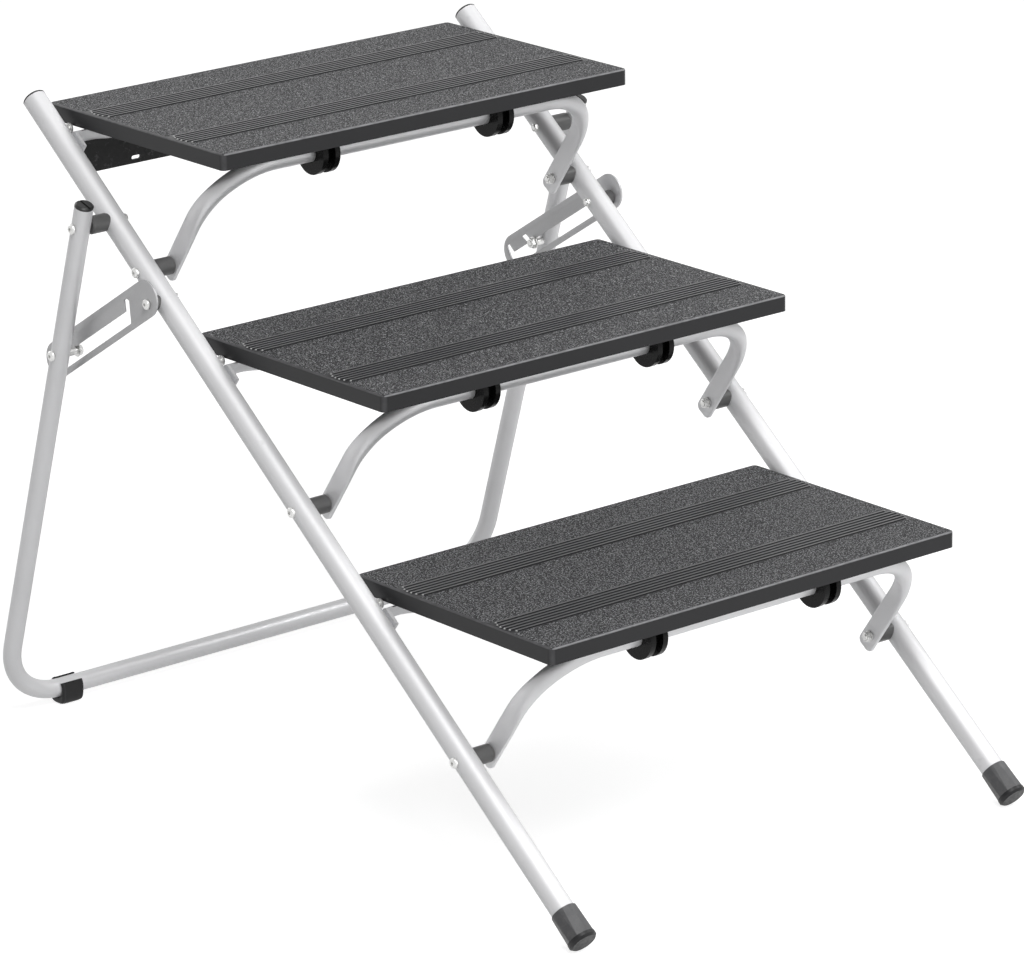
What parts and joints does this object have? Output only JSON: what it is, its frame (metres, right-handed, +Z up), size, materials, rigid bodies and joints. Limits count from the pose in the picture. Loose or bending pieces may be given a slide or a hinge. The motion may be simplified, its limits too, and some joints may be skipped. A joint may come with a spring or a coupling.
{
  "type": "folding pet stairs",
  "caption": "Folding stairs for a pet: grained plastic treads on aluminium side rails, with a fold-out rear leg frame held by slotted lock plates.",
  "frame": {"origin": "on the floor, in the middle of the standing footprint, on the symmetry plane", "axes": "+X across the stairs towards the right rail as seen by someone about to climb, +Y the way one climbs, towards the top step, +Z up"},
  "size_m": [0.598, 0.8174, 0.6082],
  "materials": {
    "satin_aluminium": "satin",
    "silver_coat": "satin silver coat",
    "charcoal_plastic": "fine grain",
    "black_plastic": "satin",
    "dark_rubber": "matte",
    "zinc_steel": "bright zinc"
  },
  "bodies": {
    "side_rails": {"left_rail": "satin_aluminium", "right_rail": "satin_aluminium", "left_rail_boot": "dark_rubber", "right_rail_boot": "dark_rubber", "left_rail_plug": "black_plastic", "right_rail_plug": "black_plastic", "lower_cross_tube": "silver_coat", "middle_cross_tube": "silver_coat", "upper_cross_tube": "silver_coat", "cross_tube_screws": "zinc_steel", "rear_apron": "black_plastic", "bow_pivot_bolts": "zinc_steel", "bow_pivot_washers": "zinc_steel", "bow_pivot_nuts": "zinc_steel", "bow_pivot_spacers": "black_plastic", "frame_pivot_bolts": "zinc_steel", "frame_pivot_washers": "zinc_steel", "frame_pivot_nuts": "zinc_steel", "frame_pivot_spacers": "black_plastic", "plate_pivot_bolts": "zinc_steel", "plate_pivot_washers": "zinc_steel", "plate_pivot_nuts": "zinc_steel", "plate_pivot_spacers": "black_plastic"},
    "rear_frame": {"rear_frame": "silver_coat", "rear_frame_plugs": "black_plastic", "left_rear_foot": "dark_rubber", "right_rear_foot": "dark_rubber", "lock_bolts": "zinc_steel", "lock_sleeves": "zinc_steel"},
    "left_lock_plate": {"left_lock_plate": "silver_coat"},
    "left_lock_nut": {"left_lock_nut": "zinc_steel", "left_lock_washer": "zinc_steel"},
    "right_lock_plate": {"right_lock_plate": "silver_coat"},
    "right_lock_nut": {"right_lock_nut": "zinc_steel", "right_lock_washer": "zinc_steel"},
    "lower_bow": {"lower_bow": "silver_coat"},
    "lower_tread": {"lower_tread": "charcoal_plastic", "lower_left_clip": "black_plastic", "lower_right_clip": "black_plastic"},
    "middle_bow": {"middle_bow": "silver_coat"},
    "middle_tread": {"middle_tread": "charcoal_plastic", "middle_left_clip": "black_plastic", "middle_right_clip": "black_plastic"},
    "upper_bow": {"upper_bow": "silver_coat"},
    "upper_tread": {"upper_tread": "charcoal_plastic", "upper_left_clip": "black_plastic", "upper_right_clip": "black_plastic"}
  },
  "joints": [
    {"name": "rear_frame_fold", "type": "hinge", "parent": "side_rails", "child": "rear_frame", "pos_m": [0, 0.23773, 0.50853], "axis": [-1, 0, 0], "range_deg": [0, 67.7]},
    {"name": "left_lock_plate_swing", "type": "hinge", "parent": "side_rails", "child": "left_lock_plate", "pos_m": [-0.2698, 0.16285, 0.45006], "axis": [-1, 0, 0], "range_deg": [0, 107.06]},
    {"name": "left_lock_nut_slide", "type": "slide", "parent": "left_lock_plate", "child": "left_lock_nut", "axis": [0, -0.8511, 0.525], "range_m": [0, 0.0964]},
    {"name": "right_lock_plate_swing", "type": "hinge", "parent": "side_rails", "child": "right_lock_plate", "pos_m": [0.2698, 0.16285, 0.45006], "axis": [-1, 0, 0], "range_deg": [0, 107.06]},
    {"name": "right_lock_nut_slide", "type": "slide", "parent": "right_lock_plate", "child": "right_lock_nut", "axis": [0, -0.8511, 0.525], "range_m": [0, 0.0964]},
    {"name": "lower_bow_fold", "type": "hinge", "parent": "side_rails", "child": "lower_bow", "pos_m": [0, -0.24756, 0.1296], "axis": [1, 0, 0], "range_deg": [0, 78.6]},
    {"name": "lower_tread_tilt", "type": "hinge", "parent": "lower_bow", "child": "lower_tread", "pos_m": [0, -0.31716, 0.2267], "axis": [1, 0, 0], "range_deg": [-40.72, 0]},
    {"name": "middle_bow_fold", "type": "hinge", "parent": "side_rails", "child": "middle_bow", "pos_m": [0, -0.02856, 0.3006], "axis": [1, 0, 0], "range_deg": [0, 78.6]},
    {"name": "middle_tread_tilt", "type": "hinge", "parent": "middle_bow", "child": "middle_tread", "pos_m": [0, -0.09816, 0.3977], "axis": [1, 0, 0], "range_deg": [-40.72, 0]},
    {"name": "upper_bow_fold", "type": "hinge", "parent": "side_rails", "child": "upper_bow", "pos_m": [0, 0.19044, 0.4716], "axis": [1, 0, 0], "range_deg": [0, 78.6]},
    {"name": "upper_tread_tilt", "type": "hinge", "parent": "upper_bow", "child": "upper_tread", "pos_m": [0, 0.12084, 0.5687], "axis": [1, 0, 0], "range_deg": [-40.72, 0]}
  ],
  "couplings": [
    {"joint": "left_lock_plate_swing", "follows": "rear_frame_fold", "ratio": 1.5798},
    {"joint": "left_lock_nut_slide", "follows": "rear_frame_fold", "m_per_rad": 0.081508},
    {"joint": "right_lock_plate_swing", "follows": "rear_frame_fold", "ratio": 1.5798},
    {"joint": "right_lock_nut_slide", "follows": "rear_frame_fold", "m_per_rad": 0.081508},
    {"joint": "lower_tread_tilt", "follows": "lower_bow_fold", "ratio": -0.51675},
    {"joint": "middle_bow_fold", "follows": "lower_bow_fold", "ratio": 1},
    {"joint": "middle_tread_tilt", "follows": "lower_bow_fold", "ratio": -0.51675},
    {"joint": "upper_bow_fold", "follows": "lower_bow_fold", "ratio": 1},
    {"joint": "upper_tread_tilt", "follows": "lower_bow_fold", "ratio": -0.51675}
  ]
}
